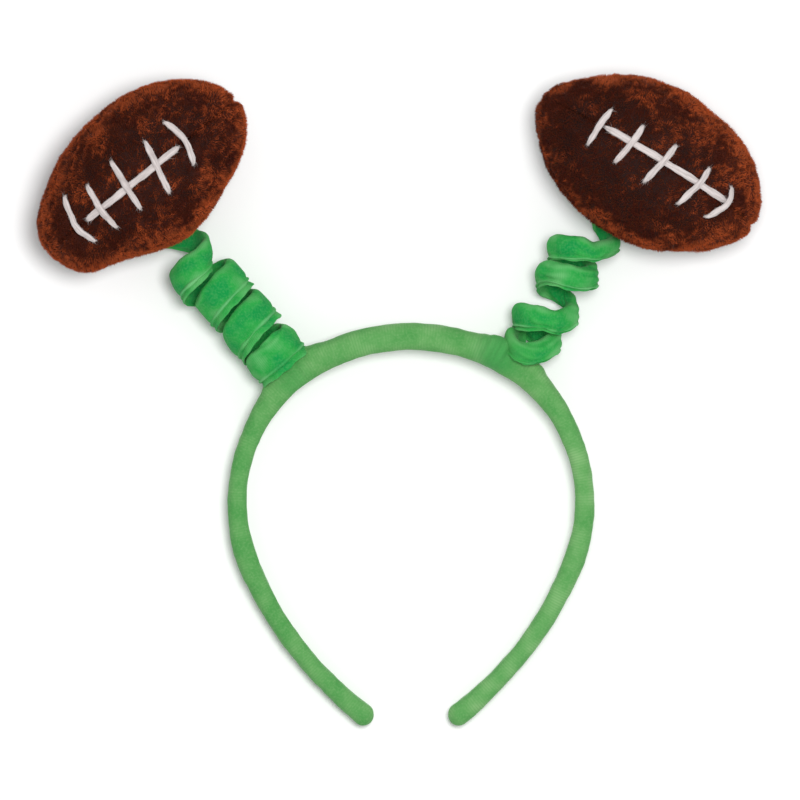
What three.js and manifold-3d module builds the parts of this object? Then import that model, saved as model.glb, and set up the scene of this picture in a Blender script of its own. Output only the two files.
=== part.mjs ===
// Head bopper: a velour-covered headband that carries two plush footballs on velour-covered coil springs.
// It lies on its side as it does on a table, resting on the band's two tips and on both footballs.
// Millimetres and degrees. +X is to the right, +Y from the band's tips to the footballs, +Z up off the table.
import * as THREE from "three";
import { mergeVertices } from "three/addons/utils/BufferGeometryUtils.js";
import Module from "manifold-3d";

// Gap that every piece keeps to the piece it is sewn to
const SEAT_GAP = 0.3;

// Headband: its inner edge is three tangent arcs on each side, from the crown's centre to the tip
const CROWN_RADIUS = 70;
const CROWN_ANGLE = 34;
const SIDE_RADIUS = 57;
const SIDE_ANGLE = 73.5;
const LEG_RADIUS = 125;
const LEG_ANGLE = 38.2;
const CROWN_THICKNESS = 10.4;
const LEG_THICKNESS = 7.8;
const TIP_THICKNESS = 8.8;
const CROWN_DEPTH = 11.6;
const LEG_DEPTH = 10;
const INNER_FLAT = 5.2;
const TIP_ROUNDING = 4.4;
const TIP_END_ANGLE = 80;
const SECTION_BLUNTNESS = 0.77;
// Where along the inner edge the padded crown starts and ends to thin to the leg, and the tip's swelling
const CROWN_TAPER_FROM = 40;
const CROWN_TAPER_TO = 72;
const TIP_SWELL_LENGTH = 26;

// Root of each spring along the inner edge, where the cover is pulled out into a gusset
const LEFT_ROOT_AT = 46.5;
const RIGHT_ROOT_AT = 39.2;
const GUSSET_RISE = 3.4;
const GUSSET_UPPER_REACH = 20;
const GUSSET_LOWER_REACH = 15;

// Springs: a flattened velour tube with a sewn flange on its lower edge, wound into a right-handed coil
const LEFT_COIL_RADIUS = 11.9;
const RIGHT_COIL_RADIUS = 12.5;
const LEFT_RIBBON_THICKNESS = 4.6;
const RIGHT_RIBBON_THICKNESS = 5.2;
const RIBBON_FLARE = 7;
const FLANGE_THICKNESS = 1.6;
const FLANGE_INSET = 0.3;
const LEFT_RIBBON_HEIGHT = 11.6;
const LEFT_FLANGE = 2.8;
const RIGHT_RIBBON_HEIGHT = 8.6;
const RIGHT_FLANGE = 1.4;
const LEFT_LEAN = 130;
const RIGHT_LEAN = 60;
const COIL_FLOOR_CLEARANCE = 2;
// How far the spring's seat on the football lies past the middle of the coil's last turn
const LEFT_SEAT_PAST_COIL = -0.2;
const RIGHT_SEAT_PAST_COIL = -9.37;

// Footballs: four plush gores each, sewn tip to tip
const LEFT_BALL_LENGTH = 95.4;
const LEFT_BALL_WIDTH = 59.4;
const RIGHT_BALL_LENGTH = 97.2;
const RIGHT_BALL_WIDTH = 62.8;
const BALL_DEPTH = 54;
const LEFT_BALL_TILT = 38.7;
const RIGHT_BALL_TILT = -31.1;
const LEFT_BALL_ROLL = 3;
const RIGHT_BALL_ROLL = -6;
const SEAM_DEPTH = 1.3;
const SEAM_HALF_ANGLE = 5;
const PANEL_BULGE = 0.02;
// Where the spring is sewn to the football: behind its middle, and along it from its middle
const SEAT_BEHIND = 10;
const LEFT_SEAT_ALONG = -5;
const RIGHT_SEAT_ALONG = -5;

// Laces: soft yarn, half sunk in the plush, with ends that dive into it
const STITCH_WIDTH = 2.6;
const SPINE_WIDTH = 2.9;
const YARN_HEIGHT = 1.5;
const YARN_LIFT = 0.2;
const YARN_DIVE = 2.4;
const STITCH_CLIMB = 3.6;

// Each football's outline as shares of an ellipse, on its far side and on the side of its spring
const LEFT_OUTLINE = [
  { at: -1.0, far: 0.85, near: 1.08 },
  { at: -0.9, far: 0.87, near: 1.07 },
  { at: -0.7, far: 0.88, near: 0.92 },
  { at: -0.5, far: 0.93, near: 0.88 },
  { at: -0.25, far: 0.96, near: 0.97 },
  { at: 0.0, far: 0.98, near: 1.02 },
  { at: 0.25, far: 1.0, near: 0.98 },
  { at: 0.5, far: 1.02, near: 0.93 },
  { at: 0.7, far: 0.99, near: 0.94 },
  { at: 0.9, far: 0.92, near: 0.95 },
  { at: 1.0, far: 0.9, near: 0.95 },
];
const RIGHT_OUTLINE = [
  { at: -1.0, far: 0.68, near: 0.8 },
  { at: -0.9, far: 0.72, near: 0.85 },
  { at: -0.7, far: 0.85, near: 0.94 },
  { at: -0.5, far: 0.93, near: 0.98 },
  { at: -0.25, far: 0.98, near: 1.0 },
  { at: 0.0, far: 1.0, near: 1.0 },
  { at: 0.25, far: 0.98, near: 0.99 },
  { at: 0.5, far: 1.0, near: 0.95 },
  { at: 0.7, far: 0.99, near: 0.88 },
  { at: 0.9, far: 0.94, near: 0.8 },
  { at: 1.0, far: 0.9, near: 0.78 },
];

// Places along a coil, counted in turns from its front at the root: the height of the ribbon's middle above the
// root in heights of the ribbon with its flange, shares of the coil's radius, the ribbon's height and the
// flange, and the angle by which the loop leans from square to the spring
const LEFT_TURNS = [
  { turn: -0.45, height: 0.03, radius: 0.88, lean: 0, ribbon: 0.78, flange: 0.43 },
  { turn: -0.25, height: 0.21, radius: 0.96, lean: 0, ribbon: 0.91, flange: 0.79 },
  { turn: 0, height: 0.28, radius: 0.99, lean: 0, ribbon: 0.97, flange: 1 },
  { turn: 0.25, height: 0.32, radius: 1, lean: 0, ribbon: 0.97, flange: 1 },
  { turn: 0.5, height: 0.63, radius: 1, lean: 0, ribbon: 0.97, flange: 1 },
  { turn: 0.75, height: 1.12, radius: 0.97, lean: 0, ribbon: 0.97, flange: 1 },
  { turn: 1, height: 1.44, radius: 0.99, lean: 0, ribbon: 1, flange: 1.04 },
  { turn: 1.25, height: 1.51, radius: 1.01, lean: 0, ribbon: 1, flange: 1.04 },
  { turn: 1.5, height: 1.84, radius: 0.99, lean: 0, ribbon: 1, flange: 1 },
  { turn: 1.75, height: 2.28, radius: 0.95, lean: 0, ribbon: 1, flange: 1 },
  { turn: 2, height: 2.52, radius: 0.98, lean: 0, ribbon: 0.97, flange: 1.04 },
  { turn: 2.25, height: 2.61, radius: 1, lean: 0, ribbon: 0.98, flange: 1 },
  { turn: 2.5, height: 2.85, radius: 0.99, lean: -4, ribbon: 0.98, flange: 0.93 },
  { turn: 2.75, height: 3.17, radius: 1.08, lean: -12, ribbon: 0.98, flange: 0.93 },
  { turn: 3, height: 3.44, radius: 1, lean: -24, ribbon: 0.93, flange: 0.86 },
  { turn: 3.12, height: 3.71, radius: 0.92, lean: -32, ribbon: 0.91, flange: 0.71 },
  { turn: 3.25, height: 4.03, radius: 0.87, lean: -38, ribbon: 0.9, flange: 0.57 },
  { turn: 3.4, height: 4.24, radius: 0.86, lean: -34, ribbon: 0.83, flange: 0.43 },
  { turn: 3.6, height: 4.31, radius: 0.84, lean: -24, ribbon: 0.78, flange: 0.36 },
];
const RIGHT_TURNS = [
  { turn: -0.45, height: -0.2, radius: 0.8, lean: 30, ribbon: 0.93, flange: 0.71 },
  { turn: -0.25, height: -0.05, radius: 0.9, lean: 30, ribbon: 0.98, flange: 1 },
  { turn: 0, height: -0.2, radius: 0.9, lean: 30, ribbon: 0.98, flange: 1 },
  { turn: 0.1, height: -0.2, radius: 0.93, lean: 30, ribbon: 0.98, flange: 1 },
  { turn: 0.25, height: 0.32, radius: 0.99, lean: 30, ribbon: 0.98, flange: 1 },
  { turn: 0.5, height: 0.7, radius: 0.92, lean: 30, ribbon: 0.98, flange: 1 },
  { turn: 0.75, height: 1.42, radius: 0.99, lean: 30, ribbon: 1.02, flange: 2 },
  { turn: 1, height: 1.4, radius: 0.91, lean: 30, ribbon: 1, flange: 1 },
  { turn: 1.12, height: 1.22, radius: 0.96, lean: 30, ribbon: 1, flange: 1 },
  { turn: 1.25, height: 1.55, radius: 1.02, lean: 30, ribbon: 1, flange: 1 },
  { turn: 1.5, height: 2.48, radius: 0.91, lean: 30, ribbon: 1, flange: 1 },
  { turn: 1.75, height: 3.3, radius: 0.99, lean: 30, ribbon: 1, flange: 1.29 },
  { turn: 1.87, height: 3.46, radius: 0.96, lean: 30, ribbon: 0.93, flange: 1 },
  { turn: 2, height: 3.28, radius: 0.93, lean: 30, ribbon: 1.02, flange: 1 },
  { turn: 2.1, height: 3.14, radius: 0.94, lean: 30, ribbon: 1.02, flange: 1 },
  { turn: 2.25, height: 3.22, radius: 0.99, lean: 30, ribbon: 1, flange: 1 },
  { turn: 2.5, height: 3.85, radius: 0.93, lean: 30, ribbon: 1, flange: 1 },
  { turn: 2.75, height: 4.5, radius: 1.09, lean: 30, ribbon: 1.05, flange: 1 },
  { turn: 3, height: 4.46, radius: 1, lean: 30, ribbon: 1, flange: 0.86 },
  { turn: 3.1, height: 4.3, radius: 1.01, lean: 30, ribbon: 0.77, flange: 0.71 },
  { turn: 3.25, height: 4.6, radius: 1.1, lean: 30, ribbon: 0.72, flange: 0.71 },
  { turn: 3.38, height: 5.04, radius: 0.96, lean: 30, ribbon: 0.98, flange: 0.5 },
  { turn: 3.52, height: 5.6, radius: 0.88, lean: 30, ribbon: 0.98, flange: 0.43 },
  { turn: 3.62, height: 6.15, radius: 0.86, lean: 30, ribbon: 0.93, flange: 0.43 },
  { turn: 3.75, height: 6.6, radius: 0.84, lean: 30, ribbon: 0.84, flange: 0.36 },
];

// Cross stitches as shares of the football's half length along it and of its half depth across it
const LEFT_STITCHES = [
  { far_along: -0.58, far: 0.51, near_along: -0.62, near: 0.36, bow: -0.06 },
  { far_along: -0.39, far: 0.43, near_along: -0.42, near: 0.4, bow: -0.02 },
  { far_along: -0.12, far: 0.49, near_along: -0.18, near: 0.4, bow: 0 },
  { far_along: 0.2, far: 0.41, near_along: 0.08, near: 0.48, bow: 0 },
  { far_along: 0.4, far: 0.45, near_along: 0.37, near: 0.38, bow: 0.06 },
];
const LEFT_SPINE = { from: -0.6, to: 0.4 };
const RIGHT_STITCHES = [
  { far_along: -0.47, far: 0.32, near_along: -0.49, near: 0.38, bow: 0 },
  { far_along: -0.19, far: 0.34, near_along: -0.24, near: 0.41, bow: 0.02 },
  { far_along: 0.12, far: 0.34, near_along: 0.04, near: 0.44, bow: 0.01 },
  { far_along: 0.44, far: 0.32, near_along: 0.36, near: 0.45, bow: 0.02 },
  { far_along: 0.66, far: 0.27, near_along: 0.6, near: 0.38, bow: 0.06 },
];
const RIGHT_SPINE = { from: -0.46, to: 0.69 };

// How finely each piece is divided
const BAND_STEPS = 61;
const BAND_SIDES = 12;
const TIP_STEPS = 3;
const BALL_RINGS = 17;
const BALL_SIDES = 36;
const STEPS_PER_TURN = 18;
const YARN_SIDES = 6;
const STITCH_STEPS = 10;
const SPINE_STEPS = 18;
const HALVINGS = 30;
const SLOPE_STEP = 0.5;

const radians = THREE.MathUtils.degToRad;
const { clamp, lerp } = THREE.MathUtils;
const wasm = await Module();
wasm.setup();

// Closed mesh through rings of points of equal count, with a fan of triangles on each end
function loft(rings) {
  const sides = rings[0].length;
  const points = rings.flat();
  const centreOf = (ring) =>
    ring.reduce((sum, point) => sum.add(point), new THREE.Vector3()).divideScalar(sides);
  const first = points.push(centreOf(rings[0])) - 1;
  const last = points.push(centreOf(rings.at(-1))) - 1;
  const end = (rings.length - 1) * sides;
  const index = [];
  for (let i = 0; i < sides; i += 1) {
    const next = (i + 1) % sides;
    for (let here = 0; here < end; here += sides) {
      const there = here + sides;
      index.push(here + i, here + next, there + i, here + next, there + next, there + i);
    }
    index.push(first, next, i, last, end + i, end + next);
  }
  return new THREE.BufferGeometry().setFromPoints(points).setIndex(index);
}

// Geometry, placed by a matrix, as a solid that can be cut; one that came out inside out is turned round
function solidOf(geometry, matrix = new THREE.Matrix4()) {
  const merged = mergeVertices(geometry.clone().applyMatrix4(matrix));
  const vertProperties = merged.attributes.position.array;
  const build = (triVerts) =>
    new wasm.Manifold(new wasm.Mesh({ numProp: 3, vertProperties, triVerts }));
  const solid = build(new Uint32Array(merged.index.array));
  return solid.volume() > 0 ? solid : build(new Uint32Array(merged.index.array).reverse());
}

// What a cut leaves of a piece, without the loose slivers beside it
function mainBody(solid) {
  return solid.decompose().sort((a, b) => b.volume() - a.volume())[0];
}

function pieceOf(name, solid, material) {
  const { vertProperties, triVerts } = solid.getMesh();
  const geometry = new THREE.BufferGeometry();
  geometry.setAttribute("position", new THREE.BufferAttribute(vertProperties, 3));
  geometry.setIndex(new THREE.BufferAttribute(triVerts, 1));
  geometry.computeVertexNormals();
  const piece = new THREE.Mesh(geometry, material);
  piece.name = name;
  return piece;
}

function smoothstep(from, to, value) {
  return THREE.MathUtils.smoothstep(value, from, to);
}

// Value at a place between the rows of a table, on a smooth curve through them
function smoothValue(table, placeColumn, valueColumn, place) {
  const above = table.findIndex((row) => row[placeColumn] > place);
  const k = clamp(above < 0 ? table.length - 2 : above - 1, 0, table.length - 2);
  const slope = (i) => {
    const before = table[Math.max(0, i - 1)];
    const after = table[Math.min(table.length - 1, i + 1)];
    return (after[valueColumn] - before[valueColumn]) / (after[placeColumn] - before[placeColumn]);
  };
  const width = table[k + 1][placeColumn] - table[k][placeColumn];
  const t = clamp((place - table[k][placeColumn]) / width, 0, 1);
  const fromRow = 2 * t ** 3 - 3 * t ** 2 + 1;
  return (
    table[k][valueColumn] * fromRow +
    table[k + 1][valueColumn] * (1 - fromRow) +
    slope(k) * width * (t ** 3 - 2 * t ** 2 + t) +
    slope(k + 1) * width * (t ** 3 - t ** 2)
  );
}

// Headband

const CROWN_LENGTH = CROWN_RADIUS * radians(CROWN_ANGLE);
const SIDE_LENGTH = SIDE_RADIUS * radians(SIDE_ANGLE);
const LEG_LENGTH = LEG_RADIUS * radians(LEG_ANGLE);
const HALF_LENGTH = CROWN_LENGTH + SIDE_LENGTH + LEG_LENGTH;

// Point of the inner edge and its outward normal, at a distance from the crown's centre, minus to the left
function innerEdge(distance) {
  const side = Math.sign(distance) || 1;
  const point = new THREE.Vector2();
  let left = Math.abs(distance);
  let heading = 0;
  for (const [radius, length] of [
    [CROWN_RADIUS, CROWN_LENGTH],
    [SIDE_RADIUS, SIDE_LENGTH],
    [LEG_RADIUS, LEG_LENGTH],
  ]) {
    const run = Math.min(left, length);
    const turned = heading + run / radius;
    point.x += side * radius * (Math.sin(turned) - Math.sin(heading));
    point.y += radius * (Math.cos(turned) - Math.cos(heading));
    heading = turned;
    left -= run;
  }
  return { point, outward: new THREE.Vector2(side * Math.sin(heading), Math.cos(heading)) };
}

// Rise of the gusset beside a spring's root
function gusset(distance, rootAt) {
  const past = (distance - rootAt) * Math.sign(rootAt);
  const reach = past < 0 ? GUSSET_UPPER_REACH : GUSSET_LOWER_REACH;
  return GUSSET_RISE * (1 - smoothstep(0, reach, Math.abs(past)));
}

function bandThickness(distance) {
  const taper = smoothstep(CROWN_TAPER_FROM, CROWN_TAPER_TO, Math.abs(distance));
  const swell = smoothstep(HALF_LENGTH - TIP_SWELL_LENGTH, HALF_LENGTH, Math.abs(distance));
  return (
    lerp(lerp(CROWN_THICKNESS, LEG_THICKNESS, taper), TIP_THICKNESS, swell) +
    gusset(distance, -LEFT_ROOT_AT) +
    gusset(distance, RIGHT_ROOT_AT)
  );
}

function bandDepth(distance) {
  return lerp(CROWN_DEPTH, LEG_DEPTH, smoothstep(CROWN_TAPER_FROM, CROWN_TAPER_TO, Math.abs(distance)));
}

// Section of the band: an oval that is flat where it lies on the head; out is away from the head
function bandSection(thickness, depth) {
  const blunt = (value) => Math.sign(value) * Math.abs(value) ** SECTION_BLUNTNESS;
  const from = Math.asin((INNER_FLAT / depth) ** (1 / SECTION_BLUNTNESS));
  const chopped = (1 - blunt(Math.cos(from))) / 2;
  return Array.from({ length: BAND_SIDES }, (_, i) => {
    const angle = lerp(from, 2 * Math.PI - from, i / (BAND_SIDES - 1));
    const out = (1 - blunt(Math.cos(angle))) / 2;
    return {
      out: (thickness * (out - chopped)) / (1 - chopped),
      across: (depth / 2) * blunt(Math.sin(angle)),
    };
  });
}

// Rings of the band in its own plane, with rounded tips; grow adds a gap all round
function bandRings(grow) {
  const ring = (distance, shrink) => {
    const { point, outward } = innerEdge(distance);
    const thickness = bandThickness(distance);
    const wide = shrink + (2 * grow) / thickness;
    return bandSection(thickness, bandDepth(distance)).map(({ out, across }) => {
      const off = thickness / 2 + (out - thickness / 2) * wide;
      return new THREE.Vector3(point.x + outward.x * off, point.y + outward.y * off, across * wide);
    });
  };
  const reach = HALF_LENGTH - TIP_ROUNDING;
  const tip = Array.from({ length: TIP_STEPS }, (_, i) => radians((TIP_END_ANGLE * (i + 1)) / TIP_STEPS));
  const tipRing = (side) => (turn) => ring(side * (reach + TIP_ROUNDING * Math.sin(turn)), Math.cos(turn));
  return [
    ...tip.map(tipRing(-1)).reverse(),
    ...Array.from({ length: BAND_STEPS + 1 }, (_, i) => ring(lerp(-reach, reach, i / BAND_STEPS), 1)),
    ...tip.map(tipRing(1)),
  ];
}

// Where a spring stands on the band, and the direction it leaves in, in the band's own plane
function bandRoot(distance) {
  const { point, outward } = innerEdge(distance);
  const base = point.clone().addScaledVector(outward, bandThickness(distance));
  return { base: new THREE.Vector3(base.x, base.y, 0), out: new THREE.Vector3(outward.x, outward.y, 0) };
}

// The band leans on its tips, and its crown is raised until the springs' roots clear the table
const bandGeometry = loft(bandRings(0));
const rootHeight = LEFT_COIL_RADIUS + COIL_FLOOR_CLEARANCE;
const rootReach = bandRoot(-LEFT_ROOT_AT).base.y - innerEdge(HALF_LENGTH).point.y;
const bandPlace = new THREE.Matrix4().makeRotationX(Math.asin((rootHeight - LEG_DEPTH / 2) / rootReach));
const bandBox = new THREE.Box3().setFromBufferAttribute(
  bandGeometry.clone().applyMatrix4(bandPlace).attributes.position,
);
bandPlace.premultiply(new THREE.Matrix4().makeTranslation(0, 0, -bandBox.min.z));

// Springs

// Section of the ribbon as shares of its thickness and height; out is away from the coil's axis, and the
// flange hangs from the seam
const RIBBON_SECTION = [
  { out: 0.0, up: 0.5 },
  { out: 0.34, up: 0.42 },
  { out: 0.49, up: 0.2 },
  { out: 0.5, up: -0.05 },
  { out: 0.47, up: -0.32 },
  { out: 0.4, up: -0.47, seam: true },
  { out: -0.16, up: -0.49 },
  { out: -0.42, up: -0.36 },
  { out: -0.5, up: -0.05 },
  { out: -0.48, up: 0.22 },
  { out: -0.32, up: 0.42 },
];

// Ribbon section in millimetres, with the sewn flange below its outer edge, flared out like a shingle
function ribbonSection(thickness, height, flange) {
  const body = RIBBON_SECTION.map(({ out, up }) => [out * thickness, up * height]);
  const seam = RIBBON_SECTION.findIndex((point) => point.seam);
  const low = -height / 2 - flange;
  const outer = body[seam][0] - FLANGE_INSET;
  body.splice(
    seam + 1,
    0,
    [outer, low + FLANGE_THICKNESS / 3],
    [outer - FLANGE_THICKNESS / 2, low],
    [outer - FLANGE_THICKNESS, low + FLANGE_THICKNESS / 3],
  );
  const flare = radians(RIBBON_FLARE);
  return body.map(([out, up]) => ({
    out: out * Math.cos(flare) - up * Math.sin(flare),
    up: out * Math.sin(flare) + up * Math.cos(flare),
  }));
}

// Ribbon wound round a bent axis; its front, seen from above the table, climbs to the right
function coilGeometry(spring, axis) {
  const rows = spring.turns;
  const whole = spring.ribbonHeight + spring.flange;
  const axisLength = axis.getLength();
  const turns = rows.at(-1).turn - rows[0].turn;
  const steps = Math.round(turns * STEPS_PER_TURN);
  const up = new THREE.Vector3(0, 0, 1);
  const rings = Array.from({ length: steps + 1 }, (_, i) => {
    const turn = rows[0].turn + (turns * i) / steps;
    const at = (key) => smoothValue(rows, "turn", key, turn);
    const section = ribbonSection(
      spring.ribbonThickness,
      at("ribbon") * spring.ribbonHeight,
      at("flange") * spring.flange,
    );
    const middleRadius = at("radius") * spring.coilRadius - Math.max(...section.map(({ out }) => out));
    const share = (at("height") * whole) / axisLength;
    const inside = clamp(share, 0, 1);
    const tangent = axis.getTangentAt(inside);
    const centre = axis.getPointAt(inside).addScaledVector(tangent, (share - inside) * axisLength);
    const front = up.clone().addScaledVector(tangent, -up.dot(tangent)).normalize();
    const square = tangent.clone().cross(front);
    const lean = radians(at("lean"));
    const right = square.clone().multiplyScalar(Math.cos(lean)).addScaledVector(tangent, Math.sin(lean));
    const upward = tangent.clone().multiplyScalar(Math.cos(lean)).addScaledVector(square, -Math.sin(lean));
    const angle = 2 * Math.PI * turn;
    const radial = front.multiplyScalar(Math.cos(angle)).addScaledVector(right, Math.sin(angle));
    return section.map((point) =>
      centre
        .clone()
        .addScaledVector(radial, middleRadius + point.out)
        .addScaledVector(upward, point.up),
    );
  });
  return loft(rings);
}

// Footballs

// Distance from the long axis to the cover, at a share along it and an angle from its front to its far side
function ballRadius(ball, share, angle, seamDepth) {
  const ellipse = Math.sqrt(Math.max(0, 1 - share * share));
  const side = Math.sin(angle) > 0 ? "far" : "near";
  const halfWidth = (ball.width / 2) * smoothValue(ball.outline, "at", side, share);
  const round = 1 / Math.hypot(Math.sin(angle) / halfWidth, Math.cos(angle) / (BALL_DEPTH / 2));
  const bulge = 1 + PANEL_BULGE * Math.sin(2 * angle) ** 2;
  const quarters = angle / (Math.PI / 2);
  const fromSeam = (quarters - Math.round(quarters)) * (Math.PI / 2);
  const groove = Math.exp(-((fromSeam / radians(SEAM_HALF_ANGLE)) ** 2));
  return ellipse * (round * bulge - seamDepth * groove);
}

function ballPoint(ball, share, angle, grow, seamDepth = SEAM_DEPTH) {
  const radius = ballRadius(ball, share, angle, seamDepth) + grow;
  const along = share * (ball.length / 2 + grow);
  return new THREE.Vector3(along, radius * Math.sin(angle), radius * Math.cos(angle));
}

// Whole football about its own middle; grow adds a gap all round
function ballGeometry(ball, grow) {
  return loft(
    Array.from({ length: BALL_RINGS }, (_, i) => {
      const share = Math.sin((Math.PI / 2) * ((2 * i + 1) / BALL_RINGS - 1));
      return Array.from({ length: BALL_SIDES }, (_, j) =>
        ballPoint(ball, share, (2 * Math.PI * j) / BALL_SIDES, grow),
      );
    }),
  );
}

// One gore with its share of the filling: the quarter of the football between two seams
function gore(ballSolid, ball, far, front) {
  const quarter = new THREE.BoxGeometry(2 * ball.length, ball.length, ball.length);
  quarter.deleteAttribute("normal").deleteAttribute("uv");
  const off = (ball.length + SEAT_GAP) / 2;
  const place = new THREE.Matrix4().makeTranslation(0, far * off, front * off);
  return ballSolid.intersect(solidOf(quarter, place));
}

// Laces

// Height of the cover above the football's middle, without its seams, at a place on its front
function coverHeight(ball, along, across) {
  const share = along / (ball.length / 2);
  let low = -Math.PI / 2;
  let high = Math.PI / 2;
  for (let halving = 0; halving < HALVINGS; halving += 1) {
    const middle = (low + high) / 2;
    if (ballPoint(ball, share, middle, 0, 0).y < across) low = middle;
    else high = middle;
  }
  return ballPoint(ball, share, low, 0, 0).z;
}

// Point off the cover with the cover's normal there
function offCover(ball, along, across, lift) {
  const height = coverHeight(ball, along, across);
  const normal = new THREE.Vector3(
    height - coverHeight(ball, along + SLOPE_STEP, across),
    height - coverHeight(ball, along, across + SLOPE_STEP),
    SLOPE_STEP,
  ).normalize();
  return { point: new THREE.Vector3(along, across, height).addScaledVector(normal, lift), normal };
}

// Yarn of oval section through a row of places on the cover
function yarnGeometry(places, width) {
  return loft(
    places.map(({ point, normal }, k) => {
      const before = places[Math.max(0, k - 1)].point;
      const run = places[Math.min(places.length - 1, k + 1)].point.clone().sub(before);
      const side = run.clone().cross(normal).normalize();
      const up = side.clone().cross(run).normalize();
      return Array.from({ length: YARN_SIDES }, (_, j) => {
        const angle = (2 * Math.PI * (j + 0.5)) / YARN_SIDES;
        return point
          .clone()
          .addScaledVector(side, (width / 2) * Math.cos(angle))
          .addScaledVector(up, (YARN_HEIGHT / 2) * Math.sin(angle));
      });
    }),
  );
}

// Lift of a yarn off the cover: it dives under it at both ends
function yarnLift(share, length) {
  const fromEnd = Math.min(share, 1 - share) * length;
  return lerp(-YARN_HEIGHT, YARN_LIFT, smoothstep(0, YARN_DIVE, fromEnd));
}

function spineGeometry(ball) {
  const from = ball.spine.from * (ball.length / 2);
  const to = ball.spine.to * (ball.length / 2);
  const places = Array.from({ length: SPINE_STEPS + 1 }, (_, i) => {
    const share = i / SPINE_STEPS;
    return offCover(ball, lerp(from, to, share), 0, yarnLift(share, to - from));
  });
  return yarnGeometry(places, SPINE_WIDTH);
}

// A cross stitch bows along the football and climbs over the spine where it passes it
function stitchGeometry(ball, { far_along, far, near_along, near, bow }) {
  const overSpine = YARN_LIFT + YARN_HEIGHT + SEAT_GAP;
  const halfLength = ball.length / 2;
  const length = (far + near) * (BALL_DEPTH / 2);
  const places = Array.from({ length: STITCH_STEPS + 1 }, (_, i) => {
    const share = i / STITCH_STEPS;
    const along = (lerp(far_along, near_along, share) + bow * 4 * share * (1 - share)) * halfLength;
    const across = lerp(far, -near, share) * (BALL_DEPTH / 2);
    const clear = smoothstep(SPINE_WIDTH / 2, SPINE_WIDTH / 2 + STITCH_CLIMB, Math.abs(across));
    return offCover(ball, along, across, lerp(overSpine, yarnLift(share, length), clear));
  });
  return yarnGeometry(places, STITCH_WIDTH);
}

// Assembly

const greenVelour = new THREE.MeshStandardMaterial({ color: 0x46a850, roughness: 0.95, metalness: 0 });
const brownPlush = new THREE.MeshStandardMaterial({ color: 0x54220f, roughness: 0.95, metalness: 0 });
const whiteYarn = new THREE.MeshStandardMaterial({ color: 0xe4e0dc, roughness: 0.9, metalness: 0 });

const left = {
  side: "left",
  spring: {
    rootAt: -LEFT_ROOT_AT,
    coilRadius: LEFT_COIL_RADIUS,
    lean: LEFT_LEAN,
    ribbonThickness: LEFT_RIBBON_THICKNESS,
    ribbonHeight: LEFT_RIBBON_HEIGHT,
    flange: LEFT_FLANGE,
    turns: LEFT_TURNS,
    seatAlong: LEFT_SEAT_ALONG,
    seatPastCoil: LEFT_SEAT_PAST_COIL,
  },
  ball: {
    length: LEFT_BALL_LENGTH,
    width: LEFT_BALL_WIDTH,
    outline: LEFT_OUTLINE,
    tilt: LEFT_BALL_TILT,
    roll: LEFT_BALL_ROLL,
    stitches: LEFT_STITCHES,
    spine: LEFT_SPINE,
  },
};
const right = {
  side: "right",
  spring: {
    rootAt: RIGHT_ROOT_AT,
    coilRadius: RIGHT_COIL_RADIUS,
    lean: RIGHT_LEAN,
    ribbonThickness: RIGHT_RIBBON_THICKNESS,
    ribbonHeight: RIGHT_RIBBON_HEIGHT,
    flange: RIGHT_FLANGE,
    turns: RIGHT_TURNS,
    seatAlong: RIGHT_SEAT_ALONG,
    seatPastCoil: RIGHT_SEAT_PAST_COIL,
  },
  ball: {
    length: RIGHT_BALL_LENGTH,
    width: RIGHT_BALL_WIDTH,
    outline: RIGHT_OUTLINE,
    tilt: RIGHT_BALL_TILT,
    roll: RIGHT_BALL_ROLL,
    stitches: RIGHT_STITCHES,
    spine: RIGHT_SPINE,
  },
};

const bopper = new THREE.Group();
bopper.add(pieceOf("headband", solidOf(bandGeometry, bandPlace), greenVelour));
const bandWithGap = solidOf(loft(bandRings(SEAT_GAP)), bandPlace);

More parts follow.
